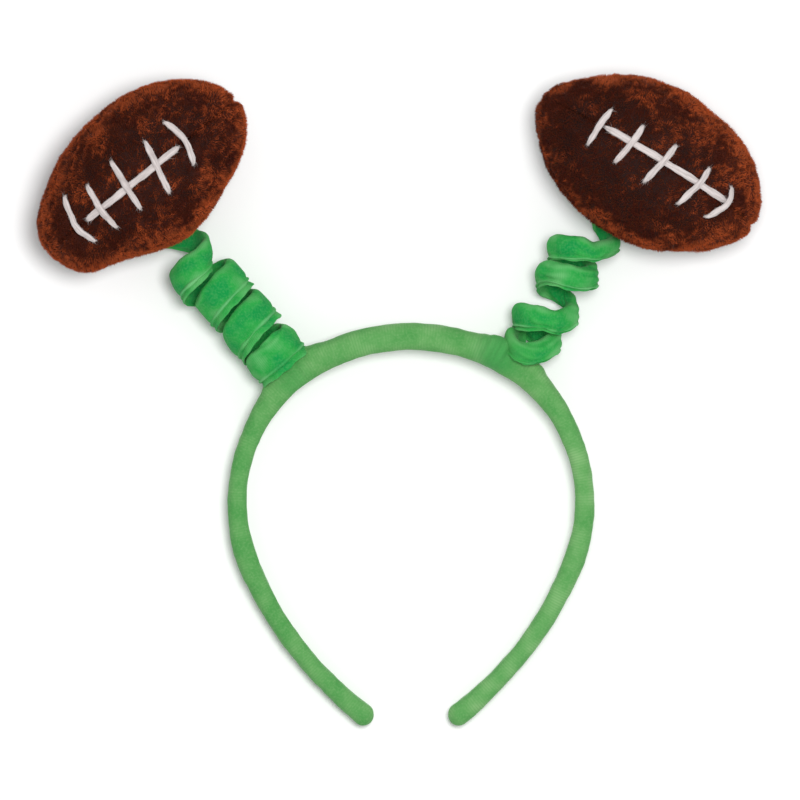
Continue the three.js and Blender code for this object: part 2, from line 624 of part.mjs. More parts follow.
for (const { side, spring, ball } of [left, right]) {
  // The football rests on the table with its long axis level
  const ballGroup = new THREE.Group();
  ballGroup.rotation.set(radians(ball.roll), 0, radians(ball.tilt), "ZYX");
  ballGroup.updateMatrix();
  const rolled = ballGeometry(ball, 0).applyMatrix4(ballGroup.matrix);
  const ballHeight = -new THREE.Box3().setFromBufferAttribute(rolled.attributes.position).min.z;

  // The spring leaves the band square to it, leans over, and meets the football's cover behind its middle
  const { base, out } = bandRoot(spring.rootAt);
  const root = base.applyMatrix4(bandPlace);
  const coilLength = spring.turns.at(-1).height * (spring.ribbonHeight + spring.flange);
  const reach = coilLength + spring.seatPastCoil;
  const lean = new THREE.Vector3(Math.cos(radians(spring.lean)), Math.sin(radians(spring.lean)), 0);
  const seat = root.clone().addScaledVector(lean, reach).setZ(ballHeight - SEAT_BEHIND);
  const along = new THREE.Vector3(Math.cos(radians(ball.tilt)), Math.sin(radians(ball.tilt)), 0);
  const inward = new THREE.Vector3(-along.y, along.x, 0);
  const seatShare = spring.seatAlong / (ball.length / 2);
  const behindShare = SEAT_BEHIND / (BALL_DEPTH / 2);
  const halfWidth = (ball.width / 2) * smoothValue(ball.outline, "at", "near", seatShare);
  const centre = seat
    .clone()
    .addScaledVector(inward, halfWidth * Math.sqrt(1 - behindShare ** 2))
    .addScaledVector(along, -spring.seatAlong);
  ballGroup.position.set(centre.x, centre.y, ballHeight);
  ballGroup.updateMatrix();

  const handle = reach / 3;
  const axis = new THREE.CubicBezierCurve3(
    root,
    root.clone().addScaledVector(out.transformDirection(bandPlace), handle),
    seat.clone().addScaledVector(inward, -handle),
    seat,
  );
  const ballWithGap = solidOf(ballGeometry(ball, SEAT_GAP));
  const coil = solidOf(coilGeometry(spring, axis))
    .subtract(bandWithGap)
    .subtract(solidOf(ballGeometry(ball, SEAT_GAP), ballGroup.matrix));
  bopper.add(pieceOf(`coil_${side}`, mainBody(coil), greenVelour));

  const ballSolid = solidOf(ballGeometry(ball, 0));
  for (const [place, far, front] of [
    ["front_upper", 1, 1],
    ["front_lower", -1, 1],
    ["back_upper", 1, -1],
    ["back_lower", -1, -1],
  ]) {
    ballGroup.add(pieceOf(`ball_${side}_${place}`, gore(ballSolid, ball, far, front), brownPlush));
  }
  const addLace = (name, geometry) =>
    ballGroup.add(pieceOf(name, mainBody(solidOf(geometry).subtract(ballWithGap)), whiteYarn));
  addLace(`lace_${side}_spine`, spineGeometry(ball));
  ball.stitches.forEach((stitch, k) => addLace(`lace_${side}_stitch_${k + 1}`, stitchGeometry(ball, stitch)));
  bopper.add(ballGroup);
}

// The origin is on the table, under the middle of the whole
bopper.updateMatrixWorld(true);
const whole = new THREE.Box3().setFromObject(bopper, true);
const middle = whole.getCenter(new THREE.Vector3());
bopper.position.set(-middle.x, -middle.y, -whole.min.z);

export default bopper;
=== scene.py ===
import bpy
import numpy as np
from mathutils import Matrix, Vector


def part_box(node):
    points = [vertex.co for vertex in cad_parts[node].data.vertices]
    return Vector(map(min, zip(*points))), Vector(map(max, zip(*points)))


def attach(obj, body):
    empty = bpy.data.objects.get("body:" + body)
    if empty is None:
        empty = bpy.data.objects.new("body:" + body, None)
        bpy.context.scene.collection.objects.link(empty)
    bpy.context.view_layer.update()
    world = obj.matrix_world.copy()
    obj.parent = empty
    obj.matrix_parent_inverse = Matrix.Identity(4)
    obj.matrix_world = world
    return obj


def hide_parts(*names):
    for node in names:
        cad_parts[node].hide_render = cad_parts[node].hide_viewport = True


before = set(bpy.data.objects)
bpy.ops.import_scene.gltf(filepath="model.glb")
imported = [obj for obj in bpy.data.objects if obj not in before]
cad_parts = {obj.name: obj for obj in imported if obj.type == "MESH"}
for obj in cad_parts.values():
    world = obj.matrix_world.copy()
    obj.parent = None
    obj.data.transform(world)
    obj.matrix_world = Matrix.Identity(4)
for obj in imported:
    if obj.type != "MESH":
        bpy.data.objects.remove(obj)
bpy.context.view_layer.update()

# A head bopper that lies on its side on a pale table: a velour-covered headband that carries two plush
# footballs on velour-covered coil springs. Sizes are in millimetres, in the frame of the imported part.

# Camera. It looks straight down on the band's plane from far off, so that one scale holds from the table to
# the top of the footballs.

MM = 0.001
IMAGE_WIDTH = 312.0
CAMERA_ASIDE = (0.26, 0.33)
CAMERA_HEIGHT = 4000.0
CAMERA_REACH = 20000.0
SCALE_HEIGHT = 20.0
SENSOR_WIDTH = 36.0
camera = bpy.data.objects.new("camera", bpy.data.cameras.new("camera"))
camera.data.sensor_width = SENSOR_WIDTH
camera.data.lens = SENSOR_WIDTH * (CAMERA_HEIGHT - SCALE_HEIGHT) / IMAGE_WIDTH
camera.data.clip_end = CAMERA_REACH * MM
camera.location = np.array((*CAMERA_ASIDE, CAMERA_HEIGHT)) * MM
bpy.context.scene.collection.objects.link(camera)
bpy.context.scene.camera = camera
bpy.context.scene.view_settings.view_transform = "Standard"

# Table and light. A matt white table top, a white room all round, and one large soft lamp above the top right
# corner, so that the shadows fall softly to the lower left.


def linear(colour):
    """Linear light of an sRGB hex colour, by the sRGB curve."""
    parts = np.array([int(colour[i : i + 2], 16) for i in (1, 3, 5)]) / 255
    light = np.where(parts <= 0.04045, parts / 12.92, ((parts + 0.055) / 1.055) ** 2.4)
    return (*light, 1.0)


def add(tree, kind, inputs=None, **settings):
    """Adds a node with its settings; an input takes a value, or is linked where it is given a socket."""
    made = tree.nodes.new(kind)
    for name, value in settings.items():
        setattr(made, name, value)
    for name, value in (inputs or {}).items():
        if isinstance(value, bpy.types.NodeSocket):
            tree.links.new(value, made.inputs[name])
        else:
            made.inputs[name].default_value = value
    return made


def new_material(name):
    """Empty material, with its node tree ready to fill."""
    made = bpy.data.materials.new(name)
    made.use_nodes = True
    made.node_tree.nodes.clear()
    return made


def mesh_piece(name, points, face_groups, material, **attributes):
    """Mesh object from points in millimetres and arrays of faces of one size, with point attributes."""
    mesh = bpy.data.meshes.new(name)
    corners = np.concatenate([faces.ravel() for faces in face_groups]).astype(np.int32)
    sizes = np.concatenate([np.full(len(faces), faces.shape[1]) for faces in face_groups])
    mesh.vertices.add(len(points))
    mesh.vertices.foreach_set("co", (points * MM).astype(np.float32).ravel())
    mesh.loops.add(len(corners))
    mesh.loops.foreach_set("vertex_index", corners)
    mesh.polygons.add(len(sizes))
    mesh.polygons.foreach_set("loop_start", (np.cumsum(sizes) - sizes).astype(np.int32))
    mesh.polygons.foreach_set("use_smooth", np.ones(len(sizes), bool))
    for key, values in attributes.items():
        kind, field = ("FLOAT", "value") if values.size == len(points) else ("FLOAT_VECTOR", "vector")
        layer = mesh.attributes.new(key, kind, "POINT")
        layer.data.foreach_set(field, values.astype(np.float32).ravel())
    mesh.update(calc_edges=True)
    mesh.validate()
    mesh.materials.append(material)
    piece = bpy.data.objects.new(name, mesh)
    bpy.context.scene.collection.objects.link(piece)
    return piece


TABLE_REACH = 3000.0
table_corners = np.array([(-1, -1, 0), (1, -1, 0), (1, 1, 0), (-1, 1, 0)]) * TABLE_REACH
# Matt white top: a plain pale ground on which only the soft shadows show
table_white = new_material("matt_white_table")
shader = add(
    table_white.node_tree,
    "ShaderNodeBsdfPrincipled",
    {"Base Color": linear("#f7f7f7"), "Roughness": 0.9, "Specular IOR Level": 0.1},
)
add(table_white.node_tree, "ShaderNodeOutputMaterial", {"Surface": shader.outputs["BSDF"]})
table = mesh_piece("table", table_corners, [np.array([[0, 1, 2, 3]])], table_white)

ROOM_LIGHT = 0.56
room = bpy.data.worlds.new("white_room")
room.use_nodes = True
room.node_tree.nodes.clear()
walls = add(room.node_tree, "ShaderNodeBackground", {"Color": (1, 1, 1, 1), "Strength": ROOM_LIGHT})
add(room.node_tree, "ShaderNodeOutputWorld", {"Surface": walls.outputs["Background"]})
bpy.context.scene.world = room

LAMP_DISTANCE = 1600.0
LAMP_SIZE = 500.0
LAMP_WATTS = 17.8
LAMP_TILT = np.radians(8.0)
LAMP_TURN = np.radians(38.0)
lamp = bpy.data.objects.new("soft_lamp", bpy.data.lights.new("soft_lamp", "AREA"))
lamp.data.shape = "DISK"
lamp.data.size = LAMP_SIZE * MM
lamp.data.energy = LAMP_WATTS
lamp.location = LAMP_DISTANCE * MM * np.array(
    (
        np.sin(LAMP_TILT) * np.cos(LAMP_TURN),
        np.sin(LAMP_TILT) * np.sin(LAMP_TURN),
        np.cos(LAMP_TILT),
    )
)
lamp.rotation_mode = "QUATERNION"
lamp.rotation_quaternion = lamp.location.to_track_quat("Z", "Y")
bpy.context.scene.collection.objects.link(lamp)

# Headband. A springy hoop, padded at the crown and thin at the legs, in a tight sleeve of green velour with
# fine ribs across it. The sleeve is closed at the tips, pulled out into a gusset at each spring, and drawn
# over the first loop of the right one. Places on it are distances from the crown's middle, plus to the right.

ARC_RADII = np.array((70.0, 57.0, 125.0))
ARC_TURNS = np.radians((34.0, 73.5, 38.2))
ARC_LENGTHS = ARC_RADII * ARC_TURNS
HALF_LENGTH = ARC_LENGTHS.sum()
BAND_LEAN = np.radians(3.708)
BAND_SHAPE = {
    "at": (0, 34, 52, 74, 98, 118, 140, 172, 190, 198),
    "thickness": (10.5, 10.5, 9.7, 7.6, 7.4, 8.3, 7.5, 7.2, 8.2, 8.7),
    "depth": (11.6, 11.6, 11.2, 10, 10, 10, 10, 10, 10, 10),
}
INNER_FLAT = 5.2
BLUNTNESS = 0.77
TIP_ROUNDING = 4.4
LEFT_ROOT_AT = 46.5
RIGHT_ROOT_AT = 39.2
GUSSET_RISE = 3.4
GUSSET_UPPER_REACH = 20.0
GUSSET_LOWER_REACH = 15.0
SWELL_RISE = 4.2
SWELL_BEFORE = 8.5
SWELL_REACH = 5.5
SWELL_TOWARDS = np.radians(102.0)
SWELL_SHARPNESS = 2.5
WRINKLE_SHARE = 0.09
WRINKLE_PITCH = 2.9
WRINKLE_WAVE = 1.6
# height, wavelength, seed
SLEEVE_LUMPS = ((0.08, 16.0, 1), (0.05, 5.0, 2))
GATHER_HEIGHT = 0.42
GATHER_PITCH = 4.1
GATHER_REACH = 10.5
GATHER_SPREAD = 0.5
GATHER_SLANT = 2.2
BAND_STEPS = 780
BAND_SIDES = 44
TIP_STEPS = 9
TIP_TURN = 86


def curve_through(places, values, at):
    """Smooth curve through rows: cubics whose slope at a row is that of the line past its neighbours."""
    places, values = np.asarray(places, float), np.asarray(values, float)
    rows = np.arange(len(places))
    before, after = np.maximum(rows - 1, 0), np.minimum(rows + 1, len(places) - 1)
    slopes = (values[after] - values[before]) / (places[after] - places[before])
    k = np.clip(np.searchsorted(places, at, side="right") - 1, 0, len(places) - 2)
    width = places[k + 1] - places[k]
    t = np.clip((at - places[k]) / width, 0, 1)
    first = 2 * t**3 - 3 * t**2 + 1
    bend = slopes[k] * (t**3 - 2 * t**2 + t) + slopes[k + 1] * (t**3 - t**2)
    return values[k] * first + values[k + 1] * (1 - first) + bend * width


def smoothstep(start, end, value):
    """Rises from 0 at start to 1 at end, level at both."""
    t = np.clip((value - start) / (end - start), 0, 1)
    return t * t * (3 - 2 * t)


def ripples(points, wavelength, seed, waves=24):
    """Smooth random height at each point and its slope: cosine waves in random directions, added up."""
    random = np.random.default_rng(seed)
    runs = random.normal(size=(waves, 3))
    runs /= np.linalg.norm(runs, axis=1, keepdims=True)
    runs *= 2 * np.pi / wavelength * random.uniform(0.7, 1.4, (waves, 1))
    angles = points @ runs.T + random.uniform(0, 2 * np.pi, waves)
    scale = np.sqrt(2 / waves)
    return np.cos(angles).sum(-1) * scale, -(np.sin(angles) @ runs) * scale


def rippled(points, layers, seed=0):
    """Height of several ripples together, from rows of height, wavelength and seed."""
    return sum(height * ripples(points, wave, seed + own)[0] for height, wave, own in layers)


def turned_about_x(angle):
    """Matrix that turns about the x axis, from y towards z."""
    return np.array(((1, 0, 0), (0, np.cos(angle), -np.sin(angle)), (0, np.sin(angle), np.cos(angle))))


def inner_edge(distance):
    """Point and outward normal of the band's inner edge: three tangent arcs on each side of the crown."""
    side = np.where(distance < 0, -1.0, 1.0)
    across, along, heading = np.zeros((3, *distance.shape))
    started = 0.0
    for radius, length in zip(ARC_RADII, ARC_LENGTHS):
        turned = heading + np.clip(np.abs(distance) - started, 0, length) / radius
        across += radius * (np.sin(turned) - np.sin(heading))
        along += radius * (np.cos(turned) - np.cos(heading))
        heading, started = turned, started + length
    return np.stack((side * across, along), -1), np.stack((side * np.sin(heading), np.cos(heading)), -1)


def gusset(distance, root_at):
    """Rise of the sleeve beside a spring's root, with a longer reach towards the crown."""
    past = (distance - root_at) * np.sign(root_at)
    reach = np.where(past < 0, GUSSET_UPPER_REACH, GUSSET_LOWER_REACH)
    return GUSSET_RISE * (1 - smoothstep(0, 1, np.abs(past) / reach))


def band_thickness(distance):
    """Thickness of the band in its own plane: the table's, and the gussets."""
    plain = curve_through(BAND_SHAPE["at"], BAND_SHAPE["thickness"], np.abs(distance))
    return plain + gusset(distance, -LEFT_ROOT_AT) + gusset(distance, RIGHT_ROOT_AT)


def band_surface(distance, shrink, angle):
    """Band in its own plane: a blunt oval with a flat inner side, carried along the inner edge.

    Towards the tips the oval shrinks about its middle.
    """
    point, outward = inner_edge(distance)
    thickness = band_thickness(distance)[:, None]
    depth = curve_through(BAND_SHAPE["at"], BAND_SHAPE["depth"], np.abs(distance))[:, None]
    cosine, sine = np.cos(angle), np.sin(angle)
    blunt_cosine = np.sign(cosine) * np.abs(cosine) ** BLUNTNESS
    blunt_sine = np.sign(sine) * np.abs(sine) ** BLUNTNESS
    flat_from = np.arcsin((INNER_FLAT / depth) ** (1 / BLUNTNESS))
    chopped = (1 - np.cos(flat_from) ** BLUNTNESS) / 2
    out = (np.maximum((1 - blunt_cosine) / 2, chopped) - chopped) / (1 - chopped)
    off = thickness * (0.5 + (out - 0.5) * shrink[:, None])
    across = depth / 2 * blunt_sine * shrink[:, None]
    plane = point[:, None, :] + outward[:, None, :] * off[..., None]
    return np.concatenate((plane, across[..., None]), -1)


def tube_normals(rings):
    """Outward normals of a tube given as rings of points, square to its two directions."""
    along = np.gradient(rings, axis=0)
    around = np.roll(rings, -1, 1) - np.roll(rings, 1, 1)
    normals = np.cross(around, along)
    normals /= np.maximum(np.linalg.norm(normals, axis=-1, keepdims=True), 1e-9)
    outward = ((rings - rings.mean(1, keepdims=True)) * normals).sum()
    return normals * np.sign(outward)


def tube_faces(rings):
    """Faces of a closed tube, all outward: quads between neighbouring rings, and a cap at each end."""
    count, sides = rings.shape[:2]
    number = np.arange(count * sides).reshape(count, sides)
    here, there = number[:-1], number[1:]
    quads = np.stack((here, np.roll(here, -1, 1), np.roll(there, -1, 1), there), -1).reshape(-1, 4)
    caps = np.stack((number[0, ::-1], number[-1]))
    a, b, c = (rings.reshape(-1, 3)[quads[:, k]] - rings.mean((0, 1)) for k in (0, 1, 2))
    volume = np.einsum("ij,ij->", a, np.cross(b, c))
    return [quads, caps] if volume > 0 else [quads[:, ::-1], caps[:, ::-1]]


straight = np.linspace(-(HALF_LENGTH - TIP_ROUNDING), HALF_LENGTH - TIP_ROUNDING, BAND_STEPS)
tip_turns = np.radians(np.linspace(0, TIP_TURN, TIP_STEPS + 1)[1:])
tip_distances = HALF_LENGTH - TIP_ROUNDING * (1 - np.sin(tip_turns))
band_distances = np.concatenate((-tip_distances[::-1], straight, tip_distances))
band_shrinks = np.concatenate((np.cos(tip_turns)[::-1], np.ones(BAND_STEPS), np.cos(tip_turns)))
band_angles = np.linspace(0, 2 * np.pi, BAND_SIDES, endpoint=False)[None, :]
band = band_surface(band_distances, band_shrinks, band_angles)
band_normals = tube_normals(band)

# The sleeve lies in soft lumps over the padding, and in gathers that fan out from each spring's root
lumps = rippled(band, SLEEVE_LUMPS)
outer_side = (1 - np.cos(band_angles)) / 2
for root_at in (-LEFT_ROOT_AT, RIGHT_ROOT_AT):
    past = band_distances[:, None] - root_at
    fan = past * (1.4 - GATHER_SPREAD * outer_side) + GATHER_SLANT * np.sin(band_angles)
    gathers = np.cos(2 * np.pi * fan / GATHER_PITCH) * np.exp(-((past / GATHER_REACH) ** 2))
    lumps = lumps + GATHER_HEIGHT * gathers * outer_side
# The sleeve is drawn out over the first loop of the right spring, and wrinkles there
past = band_distances[:, None] - RIGHT_ROOT_AT
facing = np.clip(np.cos(band_angles - SWELL_TOWARDS), 0, 1) ** SWELL_SHARPNESS
swell = np.exp(-(((past + SWELL_BEFORE) / SWELL_REACH) ** 2)) * facing
wrinkles = WRINKLE_SHARE * np.cos(2 * np.pi * past / WRINKLE_PITCH + WRINKLE_WAVE * np.sin(2 * band_angles))
lumps = lumps + SWELL_RISE * swell * (1 + wrinkles)
band = band + band_normals * (lumps * band_shrinks[:, None])[..., None]

# It leans on its tips, with its crown raised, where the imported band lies
band = band @ turned_about_x(BAND_LEAN).T
packed_low, packed_high = (np.array(corner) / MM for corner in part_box("headband"))
band += np.array(
    (
        (packed_low[0] + packed_high[0]) / 2,
        packed_high[1] - band[..., 1].max(),
        packed_low[2] - band[..., 2].min(),
    )
)


VELOUR_PATCH = 9.0
NAP_SIZE = 0.9
NAP_DEPTH = 0.12


def mixed(tree, factor, first, second):
    """Colour that goes from the first to the second with the factor."""
    made = add(tree, "ShaderNodeMix", {"Factor": factor, "A": first, "B": second}, data_type="RGBA")
    return made.outputs["Result"]


def by_ramp(tree, factor, stops):
    """Colour by the factor through stops, each a place and a hex colour; a ramp has its first two already."""
    made = add(tree, "ShaderNodeValToRGB", {"Fac": factor})
    elements = made.color_ramp.elements
    for k, (place, colour) in enumerate(stops):
        stop = elements[k] if k < 2 else elements.new(place)
        stop.position, stop.color = place, linear(colour)
    return made.outputs["Color"]


def attribute(tree, name):
    """Number that each point of the mesh carries under the name."""
    return add(tree, "ShaderNodeAttribute", attribute_name=name).outputs["Fac"]


def velour(name, nap_colours, neighbour, sheen, rib_pitch, groove_shade):
    """Knitted velour: short soft nap, darker and paler by patches, with fine ribs across the sleeve, their
    grooves painted darker as painted shade.

    The ribs follow the attribute along, in millimetres; seam pales the sewn ridge; a third attribute, for
    rubbing and painted light, pales the nap by rubbed patches and by painted light and deepens it by painted
    shade; and joined blends it into the neighbour's colour.
    """
    deep, plain, pale = nap_colours
    made = new_material(name)
    tree = made.node_tree
    place = add(tree, "ShaderNodeTexCoord").outputs["Object"]
    patches = add(
        tree, "ShaderNodeTexNoise", {"Vector": place, "Scale": 1 / (VELOUR_PATCH * MM), "Detail": 1.4}
    )
    nap = add(tree, "ShaderNodeTexNoise", {"Vector": place, "Scale": 1 / (NAP_SIZE * MM), "Detail": 2.0})
    wear_and_light_sum = add(
        tree, "ShaderNodeMath", {0: patches.outputs["Fac"], 1: attribute(tree, "worn")}, operation="ADD"
    )
    worn = by_ramp(tree, wear_and_light_sum.outputs["Value"], ((0.34, deep), (0.56, plain), (0.86, pale)))
    speckle = add(
        tree,
        "ShaderNodeMapRange",
        {"Value": nap.outputs["Fac"], "From Min": 0.42, "From Max": 0.78, "To Max": 0.36},
    )
    napped = mixed(tree, speckle.outputs["Result"], worn, linear(pale))
    turns = add(
        tree,
        "ShaderNodeMath",
        {0: attribute(tree, "along"), 1: 2 * np.pi / rib_pitch},
        operation="MULTIPLY",
    )
    rib = add(tree, "ShaderNodeMath", {0: turns.outputs["Value"]}, operation="SINE")
    shown = add(
        tree, "ShaderNodeMapRange", {"Value": patches.outputs["Fac"], "From Min": 0.35, "From Max": 0.65}
    )
    ribs = add(
        tree, "ShaderNodeMath", {0: rib.outputs["Value"], 1: shown.outputs["Result"]}, operation="MULTIPLY"
    )
    # Painted shade: the ribs' grooves are painted darker, towards the deep colour, where the patches let the
    # ribs show
    painted_groove_shade = add(
        tree,
        "ShaderNodeMapRange",
        {"Value": ribs.outputs["Value"], "From Min": 0.2, "From Max": -1, "To Max": groove_shade},
    )
    ribbed = mixed(tree, painted_groove_shade.outputs["Result"], napped, linear(deep))
    ridged = mixed(tree, attribute(tree, "seam"), ribbed, linear("#8fcf98"))
    blended = mixed(tree, attribute(tree, "joined"), ridged, linear(neighbour))
    relief = add(
        tree, "ShaderNodeMath", {0: nap.outputs["Fac"], 1: ribs.outputs["Value"]}, operation="ADD"
    )
    bump = add(
        tree,
        "ShaderNodeBump",
        {"Height": relief.outputs["Value"], "Strength": 0.35, "Distance": NAP_DEPTH * MM},
    )
    shader = add(
        tree,
        "ShaderNodeBsdfPrincipled",
        {
            "Base Color": blended,
            "Normal": bump.outputs["Normal"],
            "Roughness": 0.92,
            "Specular IOR Level": 0.2,
            "Sheen Weight": sheen,
            "Sheen Roughness": 0.4,
            "Sheen Tint": linear("#c9ecc4"),
        },
    )
    add(tree, "ShaderNodeOutputMaterial", {"Surface": shader.outputs["BSDF"]})
    return made


# In front, near a spring's root, the band's velour is nearly as green as the spring's: place, reach, share
GREENER_PLACES = ((RIGHT_ROOT_AT - 7.0, 13.0, 0.7), (-LEFT_ROOT_AT, 9.0, 0.3))
behind = 0.9 * (1 - np.sin(band_angles)) / 2
band_joined = sum(
    share * smoothstep(1.1, 0.1, np.abs(band_distances - at)[:, None] / reach + behind)
    for at, reach, share in GREENER_PLACES
)
# Painted light: the band is painted deepest on its left side and palest on its right, as lit from the right
BAND_PAINTED_LIGHT = {"at": (-198, -110, 0, 110, 198), "paler": (-0.01, -0.11, 0.0, 0.07, 0.04)}
band_worn = np.repeat(curve_through(BAND_PAINTED_LIGHT["at"], BAND_PAINTED_LIGHT["paler"], band_distances), BAND_SIDES)
# Yellowish green, dull and dusty: the eye sees a patchy nap with thread-fine ribs across it, their grooves
# painted darker as painted shade; painted light makes the band palest on the right
band_velour = velour(
    "ribbed_velour_of_the_band",
    ("#4a9149", "#5e9c57", "#82b174"),
    neighbour="#379348",
    sheen=0.2,
    rib_pitch=1.0,
    groove_shade=0.34,
)
band_piece = mesh_piece(
    "headband_sleeve",
    band.reshape(-1, 3),
    tube_faces(band),
    band_velour,
    along=np.repeat(band_distances, BAND_SIDES),
    seam=np.zeros(band.shape[0] * BAND_SIDES),
    worn=band_worn,
    joined=band_joined,
)
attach(band_piece, "root")
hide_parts("headband")

# Springs. Each is a wire coil in a flattened velour tube, sewn shut along its lower edge: a pale stitched
# ridge with a ruffled flange below it. It is sewn to the band's gusset at its foot and to a football at its
# head.

FLANGE_FLARE = 0.25
# height, wavelength over two pi
RUFFLES = (0.3, 1.7)
FINE_RUFFLES = (0.1, 0.8)
RUFFLE_DRIFT = 7.3
FOLD_HEIGHT = 0.22
FOLDS_ACROSS = 2.2
FOLD_DRIFT = 26.0
# height, wavelength, seed past the spring's own
VELOUR_CREASES = ((0.13, 8.0, 0), (0.03, 2.6, 1))
WORN_PATCHES = ((0.08, 15.0, 3),)
# Painted light on the nap: fold crests paler and troughs deeper, the ribbon's upper and lower edges paler as
# painted sheen, and its inner side deeper as painted shade
PAINTED_FOLD_LIGHT = 0.08
PAINTED_EDGE_SHEEN = 0.12
PAINTED_INSIDE_SHADE = 0.3
SEAM_PALENESS = 0.34
SEAM_BREAKS = 5.1
JOINED_FROM, JOINED_TO = 14.0, -9.0
RIBBON_SECTION = np.array(
    (
        # out in half thicknesses, up in ribbon heights, down in flanges, paleness
        (0.0, 0.5, 0.0, 0.0),
        (0.42, 0.47, 0.0, 0.0),
        (0.76, 0.38, 0.0, 0.0),
        (1.0, 0.2, 0.0, 0.0),
        (1.08, -0.03, 0.0, 0.0),
        (1.0, -0.25, 0.0, 0.0),
        (0.8, -0.39, 0.0, 0.0),
        (0.94, -0.44, 0.0, 0.6),
        (1.02, -0.48, 0.0, 1.0),
        (0.88, -0.52, 0.0, 0.6),
        (0.62, -0.53, 0.06, 0.0),
        (0.68, -0.5, 0.45, 0.0),
        (0.74, -0.5, 0.85, 0.1),
        (0.55, -0.5, 1.02, 0.3),
        (0.3, -0.5, 0.9, 0.1),
        (0.15, -0.5, 0.4, 0.0),
        (-0.3, -0.49, 0.0, 0.0),
        (-0.76, -0.4, 0.0, 0.0),
        (-0.94, -0.1, 0.0, 0.0),
        (-0.88, 0.22, 0.0, 0.0),
        (-0.56, 0.43, 0.0, 0.0),
    )
)
SECTION_POINTS = 84
STEPS_PER_TURN = 110
AXIS_STEPS = 400


def bezier(ends, t):
    """Point and direction of a cubic curve from the first to the last of four control points."""
    a, b, c, d = ends
    t = t[:, None]
    point = a * (1 - t) ** 3 + 3 * b * t * (1 - t) ** 2 + 3 * c * t**2 * (1 - t) + d * t**3
    run = 3 * (b - a) * (1 - t) ** 2 + 6 * (c - b) * t * (1 - t) + 3 * (d - c) * t**2
    return point, run / np.linalg.norm(run, axis=1, keepdims=True)


def closed_curve(rows, count):
    """Smooth closed curve through rows, each column by itself, at evenly spaced places."""
    wrapped = np.concatenate((rows[-2:], rows, rows[:3]))
    at = 2 + np.linspace(0, len(rows), count, endpoint=False)
    places = np.arange(len(wrapped))
    return np.stack([curve_through(places, column, at) for column in wrapped.T], -1)


def coil_surface(spring):
    """Ribbon's section carried round a bent axis in leaning loops, by the spring's rows.

    Also gives each point's length along the tube, the paleness of its seam, and its rubbed patches with
    painted
    light: painted highlights on the fold crests and on the ribbon's edges, painted shade in the fold troughs
    and on the inner side of the loops.
    """
    turns = np.array(spring["rows"]).T
    turn = np.linspace(turns[0, 0], turns[0, -1], int(STEPS_PER_TURN * np.ptp(turns[0])))
    height, radius, lean, ribbon, flange = (curve_through(turns[0], column, turn) for column in turns[1:])
    fine = np.linspace(0, 1, AXIS_STEPS)
    ends = np.array(spring["axis"])
    line = bezier(ends, fine)[0]
    run = np.concatenate(((0,), np.cumsum(np.linalg.norm(np.diff(line, axis=0), axis=1))))
    inside = np.clip(height, 0, run[-1])
    centre, tangent = bezier(ends, np.interp(inside, run, fine))
    centre = centre + tangent * (height - inside)[:, None]
    front = np.array((0, 0, 1.0)) - tangent * tangent[:, 2:]
    front /= np.linalg.norm(front, axis=1, keepdims=True)
    right = np.cross(tangent, front)
    lean = np.radians(lean)[:, None]
    right, upward = (
        right * np.cos(lean) + tangent * np.sin(lean),
        tangent * np.cos(lean) - right * np.sin(lean),
    )
    angle = 2 * np.pi * turn[:, None]
    radial = front * np.cos(angle) + right * np.sin(angle)

    out, up, down, pale = closed_curve(RIBBON_SECTION, SECTION_POINTS).T
    length = (turn * 2 * np.pi * np.mean(radius))[:, None]
    ruffle = RUFFLES[0] * np.sin(length / RUFFLES[1] + 2 * np.sin(length / RUFFLE_DRIFT))
    ruffle += FINE_RUFFLES[0] * np.sin(length / FINE_RUFFLES[1])
    upright = up * ribbon[:, None] - down * (flange[:, None] + 0.5 * ruffle)
    half = spring["thickness"] / 2
    sideways = out * half + down * (FLANGE_FLARE * flange[:, None] + 0.5 * ruffle)
    middle = radius - half
    surface = (
        centre[:, None]
        + radial[:, None] * (middle[:, None] + sideways)[..., None]
        + upward[:, None] * upright[..., None]
    )
    normals = tube_normals(surface)
    drift = ripples(surface, FOLD_DRIFT, spring["seed"] + 2)[0]
    folds = np.cos(2 * np.pi * (FOLDS_ACROSS * up + 0.5 * drift))
    folds = folds * smoothstep(-0.4, 0.8, drift) * (down < 0.01)
    creases = rippled(surface, VELOUR_CREASES, spring["seed"])
    surface = surface + normals * (creases + FOLD_HEIGHT * folds)[..., None]
    broken = 0.6 + 0.4 * np.sin(length / SEAM_BREAKS + spring["seed"])
    # Rubbed patches, with painted light on the folds and edges and painted shade on the inner side of the
    # loops
    worn = PAINTED_FOLD_LIGHT * folds + rippled(surface, WORN_PATCHES, spring["seed"])
    worn += PAINTED_EDGE_SHEEN * smoothstep(0.15, 0.5, np.abs(up)) - PAINTED_INSIDE_SHADE * smoothstep(0.0, -0.7, out)
    return surface, np.broadcast_to(length, surface.shape[:2]), np.clip(pale, 0, 1) * broken, worn


